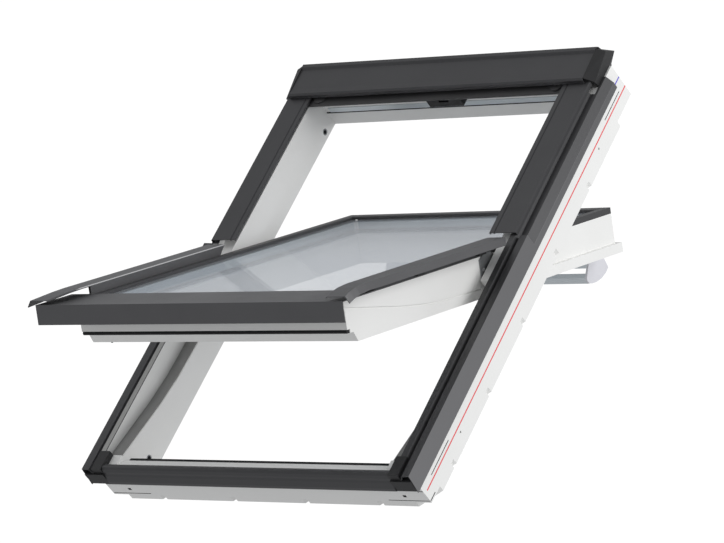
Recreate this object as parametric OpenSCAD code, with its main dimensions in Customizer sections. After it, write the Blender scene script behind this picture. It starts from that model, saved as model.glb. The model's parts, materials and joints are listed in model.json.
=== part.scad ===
// Centre-pivot roof skylight with its frame, standing upright: the slope runs along Z,
// the outside is -Y and the room is +Y. The origin is the middle of the frame's bottom
// face, on the line that sits level with the roof battens.
// The sash is described closed and then turned about its pins by open_angle. The flap
// and its control bar are described shut and then turned by bar_angle.

/* [Frame] */
// Width of the timber frame
frame_w = 780; // [620:1:1140]
// Length of the timber frame up the slope
frame_h = 978; // [800:1:1400]
// Timber depth outside the installation line
depth_out = 60; // [60:1:62]
// Timber depth on the room side of the installation line
depth_in = 34; // [30:1:44]
// Width of each frame stile
stile_w = 59; // [50:1:72]
// Depth of the rebate that takes the sash flange
rebate = 10; // [9:0.5:14]
// Thickness of the room-side lip that carries the corner bevels
lip_d = 12.5; // [10:0.5:14]
// Corner bevel at the bottom of the lip
bevel_low = 37; // [25:1:45]
// Corner bevel at the top of the lip
bevel_high = 71; // [50:1:86]
// Height of the frame head's room-side part
head_t = 29; // [24:0.5:31]

/* [Sash] */
// Angle between the sash and the frame as drawn
open_angle = 38.9; // [0:0.1:49]
// Place of the pivot pins' axis from the installation line
pivot_y = -7; // [-9:0.5:-5]
// Height of the pivot pins up the frame
pivot_z = 495; // [490:1:500]
// Gap between sash and frame stiles
sash_gap = 6; // [5:0.5:8]
// Visible width of each sash member
member_w = 57; // [50:1:70]
// Distance from the installation line to the sash's room face when closed
sash_in = 15; // [13:0.5:18]
// Height of the sash's lower end when closed
sash_low = 39.4; // [38:0.2:42]
// Distance from the frame's top to the sash's top when closed
head_room = 116; // [112:1:140]
// Width of the flange that closes against the upper rebate
flange_w = 11; // [8:0.5:13]

/* [Glazing] */
// Thickness of each pane
pane_t = 4; // [3:0.2:5]
// Width of the gap between the panes
cavity = 16; // [12:0.5:17]
// Width of the spacer bars
spacer_w = 8; // [6:0.2:10]

/* [Cladding] */
// Thickness of the aluminium sheet
sheet_t = 1.5; // [1:0.1:1.8]
// Distance the claddings stand out past the timber at each side
clad_over = 11; // [9:0.5:14]
// Height of the side claddings' flanks
flank_d = 41; // [34:1:48]
// Distance the claddings hang below the timber
clad_drop = 17; // [14:0.5:18]
// Distance the hood stands out from the side claddings
hood_proud = 20; // [16:1:26]
// Height of the hood
hood_h = 84; // [78:1:92]

/* [Fittings] */
// Diameter of the pivot pins
pin_d = 12; // [8:0.5:15]
// Radial running clearance of the pins and the bolt
pin_fit = 0.05; // [0.02:0.01:0.1]
// Diameter of the fixing holes for the installation brackets
bracket_hole_d = 4.5; // [3:0.5:6]
// Angle of the control bar below its closed place
bar_angle = 28; // [0:1:30]
// Half length of the control bar
bar_half = 250; // [200:1:255]
// Diameter of the barrel bolt
bolt_d = 8; // [6:0.5:10]

/* [Hidden] */
$fn = 48;

CUT = 1;                // how far a cutting solid runs past the face it opens
PRINT = 0.2;            // depth of a narrow line or joint
SLICE = 0.1;            // length of a slice that a flared length starts or ends on

// Frame
half_w = frame_w / 2;
inner_x = half_w - stile_w;
lip_y = depth_in - lip_d;
flange_y = -8;          // outer side of the upper rebate
rebate_z = pivot_z + 40;
rebate_end = pivot_z - 45;
corner_z = 32;          // top of the corner pieces
head_z = frame_h - head_t;
head_out_z = frame_h - 38;
sill_out = 32;          // height of the sill under the sash
sill_in = 78;           // height of the sill at its room face

// Sash, closed
sash_x = inner_x - sash_gap;
member_x = sash_x - member_w;
sash_top = frame_h - head_room;
sash_out = -62;
glass_y = -42;          // seat of the glazing in the timber
seat_t = 2;             // gasket between the glazing and its seat
unit_t = 2 * pane_t + cavity;
unit_in = glass_y - seat_t;
unit_out = unit_in - unit_t;
glass_x = sash_x - 13;
glass_lo = sash_low + 31.6;
glass_hi = sash_top - 7;
block_t = 2;            // setting blocks under the glazing
bead_out = unit_out - 6;
flange_lo = pivot_z + 72;

// Claddings
clad_x = half_w + clad_over;
clad_y = -depth_out - 12;
clad_top = frame_h - 74;
ridge_x = clad_x - 39;  // inner edge of the ridge along the side claddings
ridge_w = 12.4;
step_x = ridge_x - inner_x;     // width of the outer rebate in the lower half
cover_y = clad_y - 8;   // face of the upper covers
cover_in = inner_x - 15;
cover_out = clad_x - 23;
cover_lo = pivot_z + 53.5;
wing_y = clad_y - 20.5;   // face of the sash's side covers
wing_in = sash_x - 1;
wing_out = wing_in + 54;
wing_top = pivot_z - 25;
wing_low = -23.6;
wing_flare = 16;        // how far the tips of the side covers turn outwards
sash_plate_z = -clad_drop - 4.7;
hood_y = clad_y - hood_proud;
hood_z = frame_h - 58;
hood_x = half_w - 23;
cap_x = half_w - 4;     // outer face of the hood caps

// Fittings
hinge_t = 3;
screw_d = 3.5;
head_d = 7;
flap_y = sash_in + 6;   // axis of the ventilation flap
flap_z = sash_top + 14;
flap_pin_d = 4;
end_t = 5;              // thickness of the bar's end plates
tongue_half = 12;       // half width of the lock's tongue
tongue_y = -45;         // middle of the tongue
tongue_t = 6;
case_h = 26;            // height of the lock's case
tongue_top = sash_top + 49;
slide_fit = 0.1;        // clearance of the tongue at each side of its guide
bolt_y = 5;             // axis of the barrel bolt
bolt_z = 74.5;
bolt_tip = sash_x - 1;
bush_d = bolt_d + 6;
bush_l = 28;
bush_top_x = inner_x + rebate + 2;
bush_top_y = 20;        // where the bolt enters with the sash turned round
bush_top_z = head_z - 34;
cup_d = pin_d + 6;      // bearing cup of the frame hinges
cup_l = 10;
hinge_y0 = pivot_y - 27;
hinge_y1 = pivot_y + 19;
hinge_z0 = pivot_z - 40;
hinge_z1 = pivot_z + 36;
frame_screw_at = [[-20, 28], [12, 28], [-20, -32], [12, -32]];
sash_screw_at = [[-14, -28], [-30, -28], [-14, -50], [-30, -50]];
screw_l = 24;
screw_head_t = 1.2;
bottom_x = half_w - 38;
boss_x = inner_x - 35;
notches = 6;
notch = 4;

// ---- helpers ----

// Box between two corners
module block(lo, hi) translate(lo) cube(hi - lo);

// A section drawn in X and Y, running up the slope from z0 to z1
module along_z(z0, z1) translate([0, 0, z0]) linear_extrude(z1 - z0) children();

// A section drawn in Y and Z, running across from x0 to x1
module along_x(x0, x1) translate([x0, 0, 0]) rotate([90, 0, 90]) linear_extrude(x1 - x0) children();

// Rod along X between x0 and x1
module rod(x0, x1, y, z, d) translate([x0, y, z]) rotate([0, 90, 0]) cylinder(h = x1 - x0, d = d);

// The right-hand piece for side 1, its mirror image for side -1
module on_side(side) mirror([side < 0 ? 1 : 0, 0, 0]) children();

module on_both() for (side = [-1, 1]) on_side(side) children();

// What belongs to the sash, turned about the pins
module opened()
    translate([0, pivot_y, pivot_z]) rotate([-open_angle, 0, 0])
        translate([0, -pivot_y, -pivot_z]) children();

// What belongs to the flap and its control bar, turned about the flap's axis
module pulled()
    opened() translate([0, flap_y, flap_z]) rotate([-bar_angle, 0, 0])
        translate([0, -flap_y, -flap_z]) children();

function unit(v) = v / norm(v);
function normal(path, i) = let (d = unit(path[i + 1] - path[i])) [-d[1], d[0]];
function inner_point(path, t, i) =
    i == 0 ? path[0] + t * normal(path, 0)
    : i == len(path) - 1 ? path[i] + t * normal(path, i - 1)
    : let (a = normal(path, i - 1), b = normal(path, i)) path[i] + t * (a + b) / (1 + a * b);

// Bent sheet seen end-on: path is its outer face and t its thickness, to the path's left
module sheet(path, t = sheet_t)
    polygon(concat(path, [for (i = [len(path) - 1 : -1 : 0]) inner_point(path, t, i)]));

// ---- frame timber ----

// Triangles cut off the corners of the room-side lip
module lip_bevels() on_both() {
    translate([0, lip_y, 0]) mirror([0, 1, 0]) rotate([90, 0, 0]) linear_extrude(lip_d + CUT) {
        polygon([[half_w - bevel_low, -CUT], [half_w + CUT, -CUT], [half_w + CUT, bevel_low],
            [half_w, bevel_low], [half_w - bevel_low, 0]]);
        polygon([[half_w - bevel_high, frame_h + CUT], [half_w - bevel_high, frame_h],
            [half_w, frame_h - bevel_high], [half_w + CUT, frame_h - bevel_high],
            [half_w + CUT, frame_h + CUT]]);
    }
}

// V-shaped nicks along the edge of the lip
module side_notches()
    for (i = [0 : notches - 1])
        translate([half_w, lip_y, 93 + i * (frame_h - 153) / (notches - 1)])
            rotate([0, 45, 0]) translate([-notch, 0, -notch]) cube([2 * notch, lip_d + CUT, 2 * notch]);

module bracket_holes()
    for (z = [150, frame_h - 150]) rod(half_w - 25, half_w + CUT, 8, z, bracket_hole_d);

// Floor of the outer rebate, seen from the side
function rebate_floor() = [[-56, sill_out], [-50, sill_out + 38], [-33, 177], [-26, 250], [-24, 325],
    [-22, rebate_end]];

module frame_stile(side) color("white") on_side(side) difference() {
    union() {
        block([inner_x, -depth_out, 0], [half_w, depth_in, frame_h]);
        // fillet under the ridge of the side cladding
        block([ridge_x, clad_y - 1 + sheet_t, corner_z], [ridge_x + 9, -depth_out + CUT, clad_top]);
    }
    // outer rebate of the lower half
    along_x(inner_x - CUT, ridge_x)
        polygon(concat([[-depth_out - CUT, sill_out]], rebate_floor(), [[-depth_out - CUT, rebate_end]]));
    // room-side rebate of the upper half
    block([inner_x - CUT, flange_y, rebate_z], [inner_x + rebate + 2, depth_in + CUT, head_z]);
    lip_bevels();
    side_notches();
    bracket_holes();
    // slots and sockets for the installation brackets
    for (z = [[38, 117], [frame_h - 95, frame_h - 22]])
        block([half_w - 12, -12, z[0]], [half_w + CUT, -10, z[1]]);
    block([half_w - 98, 16, -CUT], [half_w - 2, 18, 10]);
    block([half_w - 56, 1, -CUT], [half_w - 48, 7, 20]);
    // pocket of the hinge plate
    block([inner_x - CUT, hinge_y0, hinge_z0], [inner_x + hinge_t, hinge_y1, hinge_z1]);
    rod(inner_x, inner_x + hinge_t + cup_l, pivot_y, pivot_z, cup_d);
    frame_screw_shanks();
    if (side < 0) bush_places(bush_d);
}

module frame_head() color("white") difference() {
    along_x(-inner_x, inner_x) polygon([
        [-depth_out, head_out_z], [flange_y - 4, head_out_z], [flange_y, head_z],
        [depth_in, head_z], [depth_in, frame_h], [-depth_out, frame_h]]);
    lip_bevels();
}

module frame_sill() color("white") difference() {
    along_x(-inner_x, inner_x) polygon([
        [-depth_out, 0], [depth_in, 0], [depth_in, sill_in], [sash_in + 4, sill_in - 6],
        [sash_in + 4, 52], [-2, 38.4], [-12, 35], [-12, sill_out], [-44, sill_out],
        [-50, 27], [-56, 14], [-depth_out, 8]]);
    for (i = [-3 : 2 : 3])
        translate([i * (inner_x - 64) / 3, lip_y, 0]) rotate([0, 45, 0])
            translate([-notch, 0, -notch]) cube([2 * notch, lip_d + CUT, 2 * notch]);
    on_both() block([half_w - 98, 16, -CUT], [inner_x + CUT, 18, 10]);
}

// ---- frame claddings ----

// Ridge of the side claddings and the foot of the groove beside it, seen end-on
function ridge_path() = [[ridge_x, clad_y - 1], [ridge_x + ridge_w, clad_y - 1],
    [ridge_x + 15, -depth_out - 1.6 * sheet_t], [ridge_x + 17, -depth_out - 1.6 * sheet_t]];

module side_cladding(side) color("dimgray") on_side(side) difference() {
    union() {
        along_z(-clad_drop, cover_lo)
            sheet(concat(ridge_path(), [[ridge_x + 22, clad_y + 1], [clad_x, clad_y],
                [clad_x, clad_y + flank_d]]));
        // the upper half slopes down beside the cover
        along_z(cover_lo - 0.5, clad_top)
            sheet(concat(ridge_path(), [[half_w + 2, -depth_out - 1.6 * sheet_t], [clad_x, -45],
                [clad_x, clad_y + flank_d]]));
        along_z(clad_top - CUT, clad_top + 44)
            sheet([[cap_x + 0.6, -depth_out - 1.6 * sheet_t], [half_w + 2, -depth_out - 1.6 * sheet_t],
                [clad_x, -45], [clad_x, clad_y + flank_d]]);
    }
    // the corner piece closes the lower end of the ridge
    block([ridge_x - CUT, clad_y - 1 - CUT, -clad_drop - CUT], [ridge_x + 14, -depth_out, corner_z]);
    // slanted lower end
    along_x(ridge_x, clad_x + CUT) polygon([[clad_y - CUT, -clad_drop + 5.5], [clad_y - CUT, -clad_drop - CUT],
        [clad_y + flank_d + CUT, -clad_drop - CUT], [clad_y + flank_d + CUT, -clad_drop]]);
}

module upper_cover(side) color("dimgray") on_side(side) along_z(cover_lo, frame_h - 50) {
    sheet([[cover_in, cover_y + 4.5], [cover_in, cover_y], [cover_in + 9, cover_y],
        [cover_in + 11, cover_y + 2], [cover_in + 13, cover_y], [cover_out - 1.5, cover_y],
        [cover_out, cover_y + 1.5], [cover_out, clad_y + 1]]);
    // rib that rests on the side cladding
    translate([ridge_x + 5, cover_y + sheet_t - PRINT]) square([3, clad_y - 1 - cover_y - sheet_t + PRINT]);
}

module bottom_cladding() color("dimgray") along_x(-bottom_x, bottom_x)
    sheet([[-depth_out - sheet_t, 4], [-70, 2.5], [clad_y, -2], [clad_y, -6], [-69, -9.5], [-63, -11.5],
        [-58, -12], [-53, -14], [-40, -clad_drop], [-33, -clad_drop], [-31, -14], [-31, 0]]);

module corner_piece(side) color("black") on_side(side) {
    block([bottom_x, clad_y - 1, -clad_drop + 5], [ridge_x + 14, -depth_out, corner_z]);
    block([bottom_x, -depth_out, -clad_drop + 1], [clad_x - sheet_t, -33, 0]);
}

function hood_path() = let (top = hood_z + hood_h) [[hood_y + 11.5, hood_z - 4], [hood_y + 3, hood_z - 4],
    [hood_y, hood_z], [hood_y + 1, hood_z + 12], [hood_y + 1, top - 21], [hood_y - 3.5, top - 16],
    [hood_y - 3.5, top - 8], [hood_y + 1, top - 4], [hood_y + 14, top], [-depth_out + 20, top],
    [-depth_out + 26, top - 6], [-depth_out + 26, frame_h]];

module hood() color("dimgray") along_x(-hood_x, hood_x) sheet(hood_path(), -sheet_t);

module hood_cap(side) color("black") on_side(side) difference() {
    hull() {
        along_x(hood_x, hood_x + 0.5) polygon([[hood_y, hood_z], [hood_y - 3, hood_z + hood_h - 12],
            [hood_y + 14, hood_z + hood_h], [-depth_out + 20, hood_z + hood_h], [-depth_out + 4, hood_z]]);
        along_x(cap_x - 0.5, cap_x) polygon([[-86, frame_h + 14], [-66, frame_h + 33], [-57, frame_h - 18],
            [-55, frame_h - 52], [-76, frame_h - 56]]);
    }
    block([hood_x - CUT, cover_y - 0.3, clad_top - CUT], [cover_out + 0.3, -depth_out, frame_h - 49.5]);
    block([hood_x - CUT, -depth_out, clad_top - CUT], [half_w, CUT, frame_h]);
}

module head_lining() color("#303030") difference() {
    union() {
        along_x(-inner_x, inner_x)
            sheet([[clad_y, head_out_z - 38], [clad_y, frame_h - 8], [-depth_out, frame_h - 8]], -3);
        for (x = [-boss_x, boss_x]) translate([x, clad_y + 0.5, head_out_z - 20]) rotate([90, 0, 0])
            cylinder(h = 4.5, d = 26);
    }
    for (x = [-boss_x, boss_x]) translate([x, clad_y + 4, head_out_z - 20]) rotate([90, 0, 0])
        cylinder(h = 12, d = 6);
}

module head_trim() color("silver") along_x(-inner_x + 12, inner_x - 12)
    sheet([[-24, head_out_z], [flange_y - 4, head_out_z]], -sheet_t);

module head_gasket() color("black") along_x(-inner_x, inner_x)
    polygon([[flange_y - 4, head_out_z], [flange_y, head_z], [flange_y + 5, head_z],
        [flange_y - 1, head_out_z - 1.5]]);

module sill_gasket() color("black") along_x(-inner_x + 8, inner_x - 8)
    polygon([[-44, sill_out], [-34, sill_out], [-38, sill_out + 5], [-43, sill_out + 6]]);

module rebate_seals() color("gray") on_both() along_x(inner_x + 3, ridge_x) sheet(rebate_floor(), 2);

module striker_housing() color("black") difference() {
    block([-42, -depth_out, head_out_z - 18], [42, -30, head_out_z]);
    tongue_hole(head_out_z - 18 - CUT, head_out_z - 4);
}

module bush_places(d) {
    rod(inner_x - CUT, inner_x + bush_l, bolt_y, bolt_z, d);
    rod(bush_top_x - CUT, bush_top_x + bush_l, bush_top_y, bush_top_z, d);
}

module bolt_bushes() color("gray") on_side(-1) difference() {
    union() {
        rod(inner_x, inner_x + bush_l, bolt_y, bolt_z, bush_d);
        rod(bush_top_x, bush_top_x + bush_l, bush_top_y, bush_top_z, bush_d);
    }
    bush_places(bolt_d + 1);
}

// ---- hinges ----

module frame_screw_shanks()
    for (p = frame_screw_at)
        rod(inner_x - CUT, inner_x + screw_l, pivot_y + p[0], pivot_z + p[1], screw_d);

module frame_hinge(side) color("gray") on_side(side) difference() {
    union() {
        block([inner_x, hinge_y0, hinge_z0], [inner_x + hinge_t, hinge_y1, hinge_z1]);
        rod(inner_x + 1, inner_x + hinge_t + cup_l, pivot_y, pivot_z, cup_d);
    }
    rod(inner_x - CUT, inner_x + hinge_t + cup_l - 1, pivot_y, pivot_z, pin_d + 2 * pin_fit);
    frame_screw_shanks();
}

module frame_screws() color("silver") on_both() for (p = frame_screw_at) {
    rod(inner_x - screw_head_t, inner_x, pivot_y + p[0], pivot_z + p[1], head_d);
    rod(inner_x - screw_head_t, inner_x + screw_l, pivot_y + p[0], pivot_z + p[1], screw_d);
}

module sash_screw_shanks()
    for (p = sash_screw_at)
        rod(sash_x - screw_l, sash_x + hinge_t + CUT, pivot_y + p[0], pivot_z + p[1], screw_d);

module sash_hinge(side) color("gray") opened() on_side(side) difference() {
    union() {
        along_x(sash_x, sash_x + hinge_t) polygon([for (p = [[14, 12], [14, -14], [-8, -58], [-50, -58],
            [-59, -44], [-59, -24], [-48, -8], [-14, 12]]) [pivot_y + p[0], pivot_z + p[1]]]);
        rod(sash_x, inner_x + hinge_t + cup_l - 2, pivot_y, pivot_z, pin_d);
    }
    sash_screw_shanks();
}

module sash_screws() color("silver") opened() on_both() for (p = sash_screw_at) {
    rod(sash_x + hinge_t, sash_x + hinge_t + screw_head_t, pivot_y + p[0], pivot_z + p[1], head_d);
    rod(sash_x - screw_l, sash_x + hinge_t + screw_head_t, pivot_y + p[0], pivot_z + p[1], screw_d);
}

// ---- sash timber ----

// Side view of the sash timbers, closed
module sash_outline() polygon([
    [sash_out, sash_low], [-11, sash_low], [-11, sash_low + 7.6], [-4, sash_low + 7.6],
    [-4, sash_low + 16.6], [sash_in, sash_low + 26.6], [sash_in, sash_top + 8],
    [-4, sash_top + 8], [-4, sash_top], [sash_out, sash_top]]);

// Room for the glazing unit with its setting blocks
module glazing_room() block([-glass_x - 4, sash_out - CUT, glass_lo - block_t],
    [glass_x + 4, glass_y, glass_hi + 2]);

module lock_screw_holes() for (x = [-34, 34]) translate([x, tongue_y, sash_top - 12])
    cylinder(h = 32, d = screw_d);

module sash_stile(side) color("white") opened() on_side(side) difference() {
    union() {
        along_x(member_x, sash_x) sash_outline();
        block([sash_x - CUT, -4, flange_lo], [sash_x + flange_w, sash_in, sash_top + 8]);
    }
    glazing_room();
    // shadow groove along the side
    along_x(sash_x - 3, sash_x + CUT)
        sheet([[-52, sash_low - CUT], [-43, 84], [-21, 199], [-11, 268], [-8, 303], [-4, pivot_z - 62]], -3);
    sash_screw_shanks();
    if (side < 0) bolt_pocket();
}

module sash_top_rail() color("white") opened() difference() {
    intersection() {
        along_x(-member_x, member_x) sash_outline();
        block([-member_x, sash_out, sash_top - member_w], [member_x, sash_in, sash_top + 10]);
    }
    glazing_room();
    lock_screw_holes();
}

module sash_bottom_rail() color("white") opened() difference() {
    intersection() {
        along_x(-member_x, member_x) sash_outline();
        block([-member_x, sash_out, sash_low], [member_x, sash_in, sash_low + member_w + 14]);
    }
    glazing_room();
}

module sash_weatherstrip() color("black") opened() along_x(-sash_x + 2, sash_x - 2)
    polygon([[-11, sash_low + 7.6], [-4, sash_low + 7.6], [-4, sash_low + 1], [-7, sash_low - 0.6],
        [-11, sash_low + 1]]);

// ---- glazing ----

// Ring of the given width just inside an inset of the pane's outline
module pane_ring(inset, width, y0, y1) difference() {
    block([-glass_x + inset, y0, glass_lo + inset], [glass_x - inset, y1, glass_hi - inset]);
    block([-glass_x + inset + width, y0 - CUT, glass_lo + inset + width],
        [glass_x - inset - width, y1 + CUT, glass_hi - inset - width]);
}

seal_w = 3;             // sealant outside the spacer bars
key_l = 14;             // arm of a spacer corner key

module key_zone() for (x = [-1, 1]) for (z = [glass_lo, glass_hi - seal_w - key_l])
    translate([x * (glass_x - seal_w - key_l / 2) - key_l / 2, unit_out, z == glass_lo ? z + seal_w : z])
        cube([key_l, unit_t, key_l]);

module outer_pane() color("lightblue", 0.4) opened()
    block([-glass_x, unit_out, glass_lo], [glass_x, unit_out + pane_t, glass_hi]);

module inner_pane() color("lightblue", 0.4) opened()
    block([-glass_x, unit_in - pane_t, glass_lo], [glass_x, unit_in, glass_hi]);

module spacer_bars() color("silver") opened() difference() {
    pane_ring(seal_w, spacer_w, unit_out + pane_t, unit_in - pane_t);
    key_zone();
}

module spacer_keys() color("white") opened() intersection() {
    pane_ring(seal_w, spacer_w, unit_out + pane_t, unit_in - pane_t);
    key_zone();
}

module edge_seal() color("black") opened()
    pane_ring(0, seal_w, unit_out + pane_t, unit_in - pane_t);

module glass_gasket() color("black") opened() pane_ring(0, 26, unit_in, glass_y);

module setting_blocks() color("black") opened() for (x = [-1, 1])
    translate([x * glass_x * 0.6 - 40, unit_out, glass_lo - block_t]) cube([80, unit_t, block_t]);

// ---- sash claddings ----

module glazing_bead(side) color("dimgray") opened() on_side(side) along_z(glass_lo - 11, sash_top)
    polygon([[sash_x, sash_out], [sash_x, bead_out], [sash_x - 17, bead_out], [sash_x - 19, bead_out + 2],
        [sash_x - 19, unit_out], [glass_x + 4, unit_out], [glass_x + 4, sash_out]]);

module glazing_bead_top() color("dimgray") opened() along_x(-sash_x + 19, sash_x - 19)
    polygon([[sash_out, sash_top], [bead_out, sash_top], [bead_out, glass_hi - 13],
        [bead_out + 2, glass_hi - 15],
        [unit_out, glass_hi - 15], [unit_out, glass_hi + 2], [sash_out, glass_hi + 2]]);

module bottom_sash_cladding() color("dimgray") opened() {
    along_x(-wing_out + 3, wing_out - 3)
        sheet([[bead_out - sheet_t, glass_lo + 8], [bead_out - sheet_t, sash_plate_z], [-37, sash_plate_z],
            [-37, sash_plate_z + 3]]);
    // lip on the glass and web on the timber
    along_x(-sash_x + 19.2, sash_x - 19.2) {
        translate([bead_out - 0.5, glass_lo + 6]) square([unit_out - bead_out + 0.5, 2]);
        translate([bead_out - 0.5, glass_lo - 24]) square([sash_out - bead_out + 0.5, 2]);
    }
}

// End view of a side cover, moved outwards by dx and inwards by dy
function wing_section(dx, dy) = [[wing_in + dx, wing_y + 2 + dy], [wing_in + 3 + dx, wing_y + dy],
    [wing_out - 9 + dx, wing_y + dy], [wing_out + dx, wing_y + 12.5 + dy]];
wing_turn = [[54, 0, 0], [24, 2.5, 1.5], [0, wing_flare / 2, 4.5], [wing_low, wing_flare, 8]];

module side_cover(side) color("dimgray") opened() on_side(side) difference() {
    union() {
        along_z(wing_turn[0][0] - SLICE, wing_top) sheet(wing_section(0, 0));
        // leg down to the glazing bead
        block([wing_in, wing_y + 2, glass_lo + 8.2], [wing_in + sheet_t, bead_out, wing_top]);
        for (i = [0 : 2]) for (k = [0 : 2]) hull() for (j = [i, i + 1]) {
            w = wing_section(wing_turn[j][1], wing_turn[j][2]);
            translate([0, 0, wing_turn[j][0]]) linear_extrude(SLICE)
                polygon([w[k], w[k + 1], inner_point(w, sheet_t, k + 1), inner_point(w, sheet_t, k)]);
        }
    }
    // slanted end beside the pivot
    along_x(wing_in - CUT, wing_out + CUT)
        polygon([[wing_y - CUT, wing_top + CUT], [wing_y, wing_top], [wing_y + 13, wing_top - 12],
            [bead_out + CUT, wing_top - 17], [bead_out + CUT, wing_top + CUT]]);
}

clip_z = [85, 245, wing_top - 40];

module cover_clips() color("black") opened() on_both() for (z = clip_z) {
    block([sash_x, bead_out, z], [sash_x + 10, bead_out + 8, z + 20]);
    block([wing_in + sheet_t, wing_y + 5, z], [sash_x + 10, bead_out, z + 20]);
}

// ---- lock ----

module tongue_hole(z0, z1)
    block([-tongue_half - slide_fit, tongue_y - tongue_t / 2 - slide_fit, z0],
        [tongue_half + slide_fit, tongue_y + tongue_t / 2 + slide_fit, z1]);

module lock_case() color("gray") opened() difference() {
    block([-45, tongue_y - 12, sash_top], [45, tongue_y + 14, sash_top + case_h]);
    tongue_hole(sash_top + 2, sash_top + case_h + CUT);
    lock_screw_holes();
}

module lock_latch() color("silver") opened()
    block([-tongue_half, tongue_y - tongue_t / 2, sash_top + 2.1],
        [tongue_half, tongue_y + tongue_t / 2, tongue_top]);

module bolt_pocket() block([sash_x - 55, bolt_y - 8, bolt_z - 8], [sash_x + CUT, sash_in + CUT, bolt_z + 8]);

module bolt_housing() color("silver") opened() on_side(-1) difference() {
    block([sash_x - 55, bolt_y - 8, bolt_z - 8], [sash_x, sash_in, bolt_z + 8]);
    rod(sash_x - 53, sash_x + CUT, bolt_y, bolt_z, bolt_d + 2 * pin_fit);
    // slot of the knob
    block([sash_x - 45, bolt_y, bolt_z - 2.5], [sash_x - 10, sash_in + CUT, bolt_z + 2.5]);
}

module barrel_bolt() color("silver") opened() on_side(-1) {
    rod(sash_x - 48, bolt_tip, bolt_y, bolt_z, bolt_d);
    translate([sash_x - 40, bolt_y + 1, bolt_z]) rotate([-90, 0, 0]) cylinder(h = sash_in - bolt_y + 2, d = 4);
}

// ---- ventilation flap and control bar ----

function from_axis(points) = [for (p = points) [flap_y + p[0], flap_z + p[1]]];

module ventilation_flap() color("silver") pulled() along_x(-bar_half, bar_half)
    polygon(from_axis([[-3, -2], [-4.6, 40.6], [7.5, 58.4], [10.4, 56.4], [-1.4, 39.2], [0, -2]]));

module flap_seal() color("black") pulled() along_x(-bar_half, bar_half)
    polygon(from_axis([[-4.6, 40.6], [7.5, 58.4], [4.2, 60.7], [-7.9, 42.9]]));

module control_bar() color("silver") pulled() along_x(-bar_half, bar_half)
    polygon(from_axis([[38, 0], [40, -3], [48, -3], [54, 1], [55, 12], [50, 16], [42, 16], [38, 12]]));

module bar_end(side) color("silver") pulled() on_side(side) {
    along_x(bar_half, bar_half + end_t)
        polygon(from_axis([[-4.6, -4], [-4.6, 40.6], [7.5, 58.4], [20, 54], [34, 44], [46, 30], [53, 17],
            [55, 10], [54, 1], [48, -3], [10, -5], [2, -5]]));
    rod(bar_half, bar_half + end_t + 7, flap_y, flap_z, flap_pin_d);
}

module flap_brackets() color("gray") opened() on_both() difference() {
    block([bar_half + end_t + 0.4, flap_y - 12, sash_top + 8],
        [bar_half + end_t + 8, flap_y + 6, flap_z + 7]);
    rod(bar_half, bar_half + end_t + 9, flap_y, flap_z, flap_pin_d + 2 * pin_fit);
}

frame_stile(-1);  // frame_stile_left
frame_stile(1);  // frame_stile_right
frame_head();
frame_sill();
side_cladding(-1);  // side_cladding_left
side_cladding(1);  // side_cladding_right
upper_cover(-1);  // upper_cover_left
upper_cover(1);  // upper_cover_right
bottom_cladding();
corner_piece(-1);  // corner_piece_left
corner_piece(1);  // corner_piece_right
hood();
hood_cap(-1);  // hood_cap_left
hood_cap(1);  // hood_cap_right
head_lining();
head_trim();
head_gasket();
sill_gasket();
rebate_seals();
striker_housing();
bolt_bushes();
frame_hinge(-1);  // frame_hinge_left
frame_hinge(1);  // frame_hinge_right
frame_screws();
sash_stile(-1);  // sash_stile_left
sash_stile(1);  // sash_stile_right
sash_top_rail();
sash_bottom_rail();
outer_pane();
inner_pane();
spacer_bars();
spacer_keys();
edge_seal();
glass_gasket();
setting_blocks();
glazing_bead(-1);  // glazing_bead_left
glazing_bead(1);  // glazing_bead_right
glazing_bead_top();
bottom_sash_cladding();
side_cover(-1);  // side_cover_left
side_cover(1);  // side_cover_right
cover_clips();
sash_weatherstrip();
sash_hinge(-1);  // sash_hinge_left
sash_hinge(1);  // sash_hinge_right
sash_screws();
lock_case();
lock_latch();
bolt_housing();
barrel_bolt();
flap_brackets();
ventilation_flap();
control_bar();
bar_end(-1);  // bar_end_left
bar_end(1);  // bar_end_right
flap_seal();
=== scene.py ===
"""Looks for a centre-pivot roof skylight: finishes, studio light and camera."""
import json
import math
import bpy
from mathutils import Matrix, Vector


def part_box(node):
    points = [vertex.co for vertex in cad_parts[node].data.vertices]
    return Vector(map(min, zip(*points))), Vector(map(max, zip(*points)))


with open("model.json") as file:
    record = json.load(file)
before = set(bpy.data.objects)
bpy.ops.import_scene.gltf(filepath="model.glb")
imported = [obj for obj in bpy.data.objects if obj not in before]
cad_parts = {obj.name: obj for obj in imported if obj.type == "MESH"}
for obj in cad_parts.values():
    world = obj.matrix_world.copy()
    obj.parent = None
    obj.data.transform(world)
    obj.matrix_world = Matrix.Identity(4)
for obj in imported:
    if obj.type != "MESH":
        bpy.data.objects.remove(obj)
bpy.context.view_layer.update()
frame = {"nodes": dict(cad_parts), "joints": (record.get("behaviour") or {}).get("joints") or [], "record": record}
nodes = frame["nodes"]


# ---------------------------------------------------------------- the frame's own sizes

HALF_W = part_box("frame_stile_right")[1].x
SASH_JOINT = [j for j in frame["joints"] if j["name"] == "sash_pivot"][0]
PIVOT = Vector(SASH_JOINT["pos_m"])
# how far the sash stands open at rest
OPEN = math.radians(-SASH_JOINT["range_deg"][0])


# ---- places of the marks and shades, in metres

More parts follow.
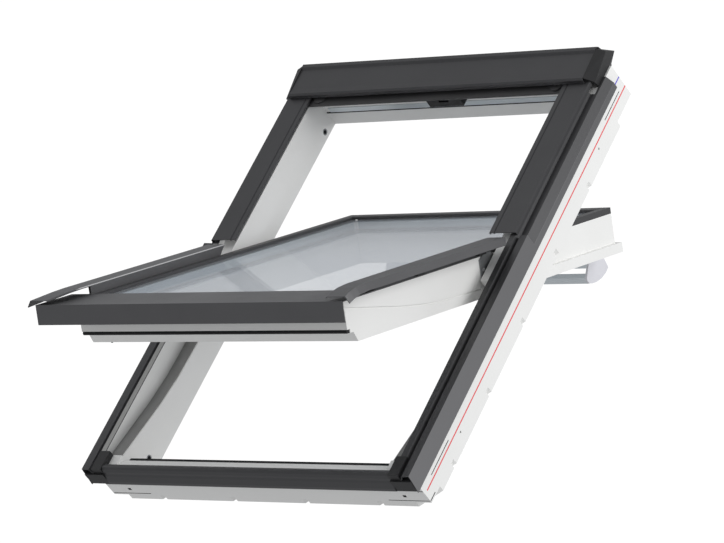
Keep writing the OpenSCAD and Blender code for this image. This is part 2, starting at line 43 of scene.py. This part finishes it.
SKIN = 0.0002                   # depth of the layer that picks out the stiles' side faces
LINE_HALF = 0.0015              # half the width of a printed line
RED_OUT, RED_FROM = 0.003, 0.009        # red line: distance outside the installation line, lower end
BLUE_OUT, BLUE_FROM = 0.0285, 0.955     # blue line: the same
WALL_X = (0.3605, 0.3622)       # rebate wall of a stile
WALL_Z = (0.0325, 0.449)
FLOOR_START = 0.061             # rebate floor at the sill end, outside the installation line
FLOOR_RISE = 0.16               # its slope below the bend
FLOOR_BEND = 0.22               # height where it levels off
FLOOR_LEVEL = 0.15              # slope that it loses there
SHADE_SPREAD = 32.0             # the shade fades over one part in this many of a metre
SLOT_Z = (0.0004, 0.0205)       # bracket slots and sockets in the timber's lower end
SLOT_Y = (0.0158, 0.0182)
SOCKET_Y = (0.0008, 0.0072)
SOCKET_IN = (0.0562, 0.0478)    # inwards from the stile's side face
NICK_Y = (-0.0122, -0.0098)
NICK_IN = (0.0122, 0.0004)
FLANK_OUT = 0.0108              # claddings' flanks, out from the stile's side face
FOLD_X = (0.3243, 0.3266)       # inner edge of the sash's side covers
FOLD_OUT = (-0.0875, -0.0838)   # the same, out from the pins with the sash turned shut
RIDGE_X = (-0.3738, -0.3625)    # left cladding's ridge
RIDGE_Z = (0.02, 0.545)
RIDGE_Y = (-0.0738, -0.0722)


# ---------------------------------------------------------------- shader building

class Field:
    """A shader socket that Python arithmetic can use."""

    def __init__(self, finish, socket):
        self.finish = finish
        self.socket = socket

    def _math(self, operation, *values):
        return self.finish.node("ShaderNodeMath", {"operation": operation}, dict(enumerate(values)))

    def __add__(self, other):
        return self._math("ADD", self, other)

    def __sub__(self, other):
        return self._math("SUBTRACT", self, other)

    def __rsub__(self, other):
        return self._math("SUBTRACT", other, self)

    def __mul__(self, other):
        return self._math("MULTIPLY", self, other)

    def __gt__(self, other):
        return self._math("GREATER_THAN", self, other)

    def __lt__(self, other):
        return self._math("LESS_THAN", self, other)

    def size(self):
        return self._math("ABSOLUTE", self)

    __radd__ = __add__
    __rmul__ = __mul__


class Finish:
    """A material built node by node round one Principled shader."""

    def __init__(self, name, **constants):
        self.material = bpy.data.materials.new(name)
        self.material.use_nodes = True
        self.tree = self.material.node_tree
        self.shader = self.tree.nodes["Principled BSDF"]
        self.set(self.shader, constants)
        place = self.tree.nodes.new("ShaderNodeTexCoord").outputs["Object"]
        self.place = Field(self, place)
        split = self.node("ShaderNodeSeparateXYZ", {}, {0: self.place}, all_outputs=True)
        self.x, self.y, self.z = split

    def set(self, node, values):
        for key, value in values.items():
            socket = node.inputs[key.replace("_", " ") if isinstance(key, str) else key]
            if isinstance(value, Field):
                self.tree.links.new(value.socket, socket)
            elif socket.type == "RGBA" and len(value) == 3:
                socket.default_value = (*value, 1.0)
            else:
                socket.default_value = value

    def node(self, kind, settings, values, output=0, all_outputs=False):
        made = self.tree.nodes.new(kind)
        for key, value in settings.items():
            if key == "stops":
                ramp = made.color_ramp
                for index, (at, shade) in enumerate(value):
                    stop = ramp.elements[index] if index < 2 else ramp.elements.new(at)
                    stop.position = at
                    stop.color = (shade, shade, shade, 1.0)
            else:
                setattr(made, key, value)
        self.set(made, values)
        if all_outputs:
            return [Field(self, socket) for socket in made.outputs]
        return Field(self, made.outputs[output])

    def noise(self, scale, detail=3.0, stretch=(1.0, 1.0, 1.0)):
        at = self.node("ShaderNodeMapping", {}, {"Vector": self.place, "Scale": stretch})
        return self.node("ShaderNodeTexNoise", {}, {
            "Vector": at, "Scale": scale, "Detail": detail}, output="Fac")

    def mix(self, factor, first, second):
        return self.node("ShaderNodeMix", {"data_type": "RGBA"}, {
            0: factor, 6: first if isinstance(first, Field) else (*first, 1.0),
            7: second if isinstance(second, Field) else (*second, 1.0)}, output=2)

    def inside(self, field, start, end):
        return (field > start) * (field < end)

    def bump(self, height, distance, strength):
        normal = self.node("ShaderNodeBump", {}, {
            "Height": height, "Distance": distance, "Strength": strength})
        self.give(Normal=normal)

    def give(self, **values):
        self.set(self.shader, values)


def white_lacquer():
    finish = Finish("white_lacquer", Roughness=0.34, Coat_Weight=0.25, Coat_Roughness=0.22)
    grain = finish.noise(260.0, 4.0, (1.0, 1.0, 0.05))
    patch = finish.noise(9.0, 2.0)
    paint = finish.mix(patch, (0.83, 0.83, 0.815), (0.875, 0.875, 0.862))
    side_face = finish.x.size() > HALF_W - SKIN
    red = side_face * ((finish.y + RED_OUT).size() < LINE_HALF) * (finish.z > RED_FROM)
    blue = side_face * ((finish.y + BLUE_OUT).size() < LINE_HALF) * (finish.z > BLUE_FROM)
    paint = finish.mix(red, paint, (0.8, 0.09, 0.1))
    paint = finish.mix(blue, paint, (0.12, 0.1, 0.6))
    # shade that gathers along the foot of the rebate wall
    past_bend = (finish.z - FLOOR_BEND) * (finish.z > FLOOR_BEND)
    floor_y = FLOOR_RISE * finish.z - FLOOR_LEVEL * past_bend - FLOOR_START
    wall = finish.inside(finish.x.size(), *WALL_X) * finish.inside(finish.z, *WALL_Z)
    gather = finish.node(
        "ShaderNodeValToRGB", {"stops": [(0.0, 0.35), (1.0, 1.0), (0.3, 0.6), (0.65, 0.92)]},
        {0: (floor_y - finish.y) * SHADE_SPREAD})
    paint = finish.mix(wall * (1.0 - gather), paint, (0.2, 0.2, 0.195))
    # painted shade: the insides of the slots, sockets and nicks are painted near black
    slot = finish.inside(finish.z, *SLOT_Z) * finish.inside(finish.y, *SLOT_Y)
    socket = finish.inside(finish.z, *SLOT_Z) * finish.inside(finish.y, *SOCKET_Y) \
        * finish.inside(finish.x.size(), HALF_W - SOCKET_IN[0], HALF_W - SOCKET_IN[1])
    nick = finish.inside(finish.y, *NICK_Y) \
        * finish.inside(finish.x.size(), HALF_W - NICK_IN[0], HALF_W - NICK_IN[1])
    paint = finish.mix(slot + socket + nick, paint, (0.03, 0.03, 0.03))
    finish.give(Base_Color=paint, Roughness=0.3 + 0.12 * patch)
    finish.bump(grain, 0.00012, 0.5)
    return finish.material


def grey_coating(name, dark, light):
    finish = Finish(name, Metallic=0.25, Specular_IOR_Level=0.45)
    cloud = finish.noise(14.0, 3.0)
    speck = finish.noise(2600.0, 2.0)
    coat = finish.mix(cloud, dark, light)
    # outer flanks catch the light, more towards the sill
    flank = finish.x.size() > HALF_W + FLANK_OUT
    coat = finish.mix(flank * (1.0 - 0.55 * finish.z), coat, (0.17, 0.17, 0.175))
    # painted highlight: a bright line painted along the inner edge of the sash's side covers
    out = (finish.y - PIVOT.y) * math.cos(OPEN) - (finish.z - PIVOT.z) * math.sin(OPEN)
    fold_highlight = finish.inside(finish.x.size(), *FOLD_X) * finish.inside(out, *FOLD_OUT)
    coat = finish.mix(fold_highlight, coat, (0.6, 0.6, 0.61))
    # painted light: the left ridge is painted paler along its lower half, while the right ridge stays dark
    pale = finish.inside(finish.x, *RIDGE_X) * finish.inside(finish.z, *RIDGE_Z) \
        * finish.inside(finish.y, *RIDGE_Y)
    coat = finish.mix(pale, coat, (0.36, 0.36, 0.35))
    finish.give(Base_Color=coat, Roughness=0.36 + 0.14 * cloud)
    finish.bump(speck, 0.00006, 0.5)
    return finish.material


def black_moulding(name, dark, light):
    finish = Finish(name, Specular_IOR_Level=0.4)
    cloud = finish.noise(20.0, 3.0)
    leather = finish.noise(1500.0, 2.0)
    finish.give(Base_Color=finish.mix(cloud, dark, light), Roughness=0.42 + 0.16 * cloud)
    finish.bump(leather, 0.0001, 0.6)
    return finish.material


def brushed(name, dark, light, rough, stretch):
    finish = Finish(name, Metallic=0.85)
    lines = finish.noise(900.0, 3.0, stretch)
    cloud = finish.noise(11.0, 2.0)
    finish.give(Base_Color=finish.mix(lines, dark, light), Roughness=rough + 0.12 * cloud)
    finish.bump(lines, 0.00004, 0.5)
    return finish.material


def soft_rubber(name, dark, light):
    finish = Finish(name, Specular_IOR_Level=0.3)
    cloud = finish.noise(30.0, 3.0)
    skin = finish.noise(1900.0, 2.0)
    finish.give(Base_Color=finish.mix(cloud, dark, light), Roughness=0.6 + 0.2 * cloud)
    finish.bump(skin, 0.00008, 0.6)
    return finish.material


def pale_moulding(name, dark, light):
    finish = Finish(name, Specular_IOR_Level=0.45)
    cloud = finish.noise(24.0, 3.0)
    skin = finish.noise(1400.0, 2.0)
    finish.give(Base_Color=finish.mix(cloud, dark, light), Roughness=0.36 + 0.14 * cloud)
    finish.bump(skin, 0.00008, 0.5)
    return finish.material


def clear_glass():
    finish = Finish("clear_glass", Roughness=0.03, Specular_IOR_Level=0.6)
    # the pale blue is partly the glass's own tint and partly a painted sky reflection, shown more where Alpha
    # rises at grazing angles; the noise varies it in patches
    graze = finish.node("ShaderNodeLayerWeight", {}, {"Blend": 0.35}, output="Facing")
    tint_and_reflection_patches = finish.noise(3.0, 2.0)
    finish.give(Base_Color=finish.mix(tint_and_reflection_patches, (0.78, 0.83, 0.9), (0.85, 0.9, 0.95)),
                Alpha=0.05 + 0.5 * graze * graze)
    return finish.material


WHITE = white_lacquer()
GREY = grey_coating("grey_coating", (0.048, 0.048, 0.051), (0.062, 0.062, 0.065))
SASH_GREY = grey_coating("sash_grey_coating", (0.085, 0.085, 0.089), (0.105, 0.105, 0.109))
BLACK = black_moulding("black_moulding", (0.012, 0.012, 0.013), (0.022, 0.022, 0.023))
LINING = black_moulding("lining_moulding", (0.04, 0.04, 0.041), (0.06, 0.06, 0.061))
RUBBER = soft_rubber("black_rubber", (0.01, 0.01, 0.011), (0.02, 0.02, 0.021))
GREY_RUBBER = soft_rubber("grey_rubber", (0.22, 0.22, 0.215), (0.28, 0.28, 0.275))
GLASS = clear_glass()
BAR = brushed("bar_aluminium", (0.6, 0.65, 0.68), (0.72, 0.77, 0.8), 0.3, (0.03, 1.0, 1.0))
SPACER = brushed("spacer_aluminium", (0.42, 0.5, 0.56), (0.56, 0.63, 0.68), 0.3, (1.0, 1.0, 1.0))
ZINC = brushed("zinc_plating", (0.2, 0.21, 0.22), (0.34, 0.35, 0.36), 0.3, (1.0, 1.0, 1.0))
RIVET = brushed("bright_steel", (0.6, 0.61, 0.62), (0.75, 0.76, 0.77), 0.24, (1.0, 1.0, 1.0))
PALE = pale_moulding("pale_grey_moulding", (0.66, 0.66, 0.7), (0.72, 0.72, 0.76))
KEY = pale_moulding("white_moulding", (0.8, 0.82, 0.84), (0.88, 0.9, 0.92))

FINISHES = {
    "painted_timber": WHITE, "grey_cladding": GREY,
    "bright_aluminium": BAR, "zinc_steel": ZINC, "black_plastic": BLACK,
    "grey_plastic": PALE, "white_plastic": KEY, "seal": RUBBER, "grey_seal": GREY_RUBBER,
    "glass": GLASS}
SPECIAL = {
    "spacer_bars": SPACER, "frame_screws": RIVET, "sash_screws": RIVET, "head_lining": LINING,
    "side_cover_left": SASH_GREY, "side_cover_right": SASH_GREY, "bottom_sash_cladding": SASH_GREY}

for part in frame["record"]["subparts"]:
    finish = SPECIAL.get(part["node"], FINISHES[part["material_slot"]])
    mesh = nodes[part["node"]].data
    mesh.materials.clear()
    mesh.materials.append(finish)


# ---------------------------------------------------------------- studio, in metres and watts

SKY_SEEN, SKY_LIT = 1.05, 0.5           # strength of the backdrop as seen, and as a light
FLOOR_AT, FLOOR_SIZE = (0, 0, -5.0), 60.0
AIM = (0, 0, 0.5)                       # middle of the window, roughly
LIGHT_SIZE = 3.0
CAMERA_AT = (5.0397, -4.6636, -3.4049)
CAMERA_FORWARD = (-0.63934, 0.58780, 0.49571)
CAMERA_UP = (0.01427, -0.63550, 0.77197)
LENS, SENSOR = 205.3, 36.0              # millimetres
FAR_CLIP = 100.0


def studio_world():
    world = bpy.data.worlds.new("studio_world")
    world.use_nodes = True
    tree = world.node_tree
    tree.nodes.clear()
    seen = tree.nodes.new("ShaderNodeBackground")
    seen.inputs["Color"].default_value = (1, 1, 1, 1)
    seen.inputs["Strength"].default_value = SKY_SEEN
    lit = tree.nodes.new("ShaderNodeBackground")
    lit.inputs["Color"].default_value = (0.97, 0.98, 1.0, 1)
    lit.inputs["Strength"].default_value = SKY_LIT
    ray = tree.nodes.new("ShaderNodeLightPath")
    mix = tree.nodes.new("ShaderNodeMixShader")
    out = tree.nodes.new("ShaderNodeOutputWorld")
    tree.links.new(ray.outputs["Is Camera Ray"], mix.inputs[0])
    tree.links.new(lit.outputs[0], mix.inputs[1])
    tree.links.new(seen.outputs[0], mix.inputs[2])
    tree.links.new(mix.outputs[0], out.inputs[0])
    bpy.context.scene.world = world


def soft_light(name, at, power):
    bpy.ops.object.light_add(type="AREA", location=at)
    light = bpy.context.object
    light.name = name
    light.data.shape = "DISK"
    light.data.size = LIGHT_SIZE
    light.data.energy = power
    light.rotation_euler = (Vector(AIM) - Vector(at)).to_track_quat("-Z", "Y").to_euler()


def studio_floor():
    bpy.ops.object.select_all(action="DESELECT")
    bpy.ops.mesh.primitive_grid_add(
        x_subdivisions=8, y_subdivisions=8, size=FLOOR_SIZE, location=FLOOR_AT)
    floor = bpy.context.object
    floor.name = "studio_floor"
    paint = Finish("pale_floor", Roughness=0.8)
    paint.give(Base_Color=paint.mix(paint.noise(0.6), (0.86, 0.86, 0.86), (0.9, 0.9, 0.9)))
    floor.data.materials.append(paint.material)


def camera():
    forward = Vector(CAMERA_FORWARD)
    side = forward.cross(Vector(CAMERA_UP)).normalized()
    up = side.cross(forward)
    turn = Matrix((side, up, -forward)).transposed()
    bpy.ops.object.camera_add(location=CAMERA_AT, rotation=turn.to_euler())
    made = bpy.context.object
    made.data.lens = LENS
    made.data.sensor_width = SENSOR
    made.data.clip_end = FAR_CLIP
    bpy.context.scene.camera = made


studio_world()
studio_floor()
soft_light("key_right", (4.5, -0.6, 1.6), 110.0)
soft_light("fill_front", (-1.5, -5.0, 2.0), 40.0)
soft_light("top_back", (0.5, 2.0, 4.5), 50.0)
camera()
bpy.context.scene.view_settings.view_transform = "Standard"
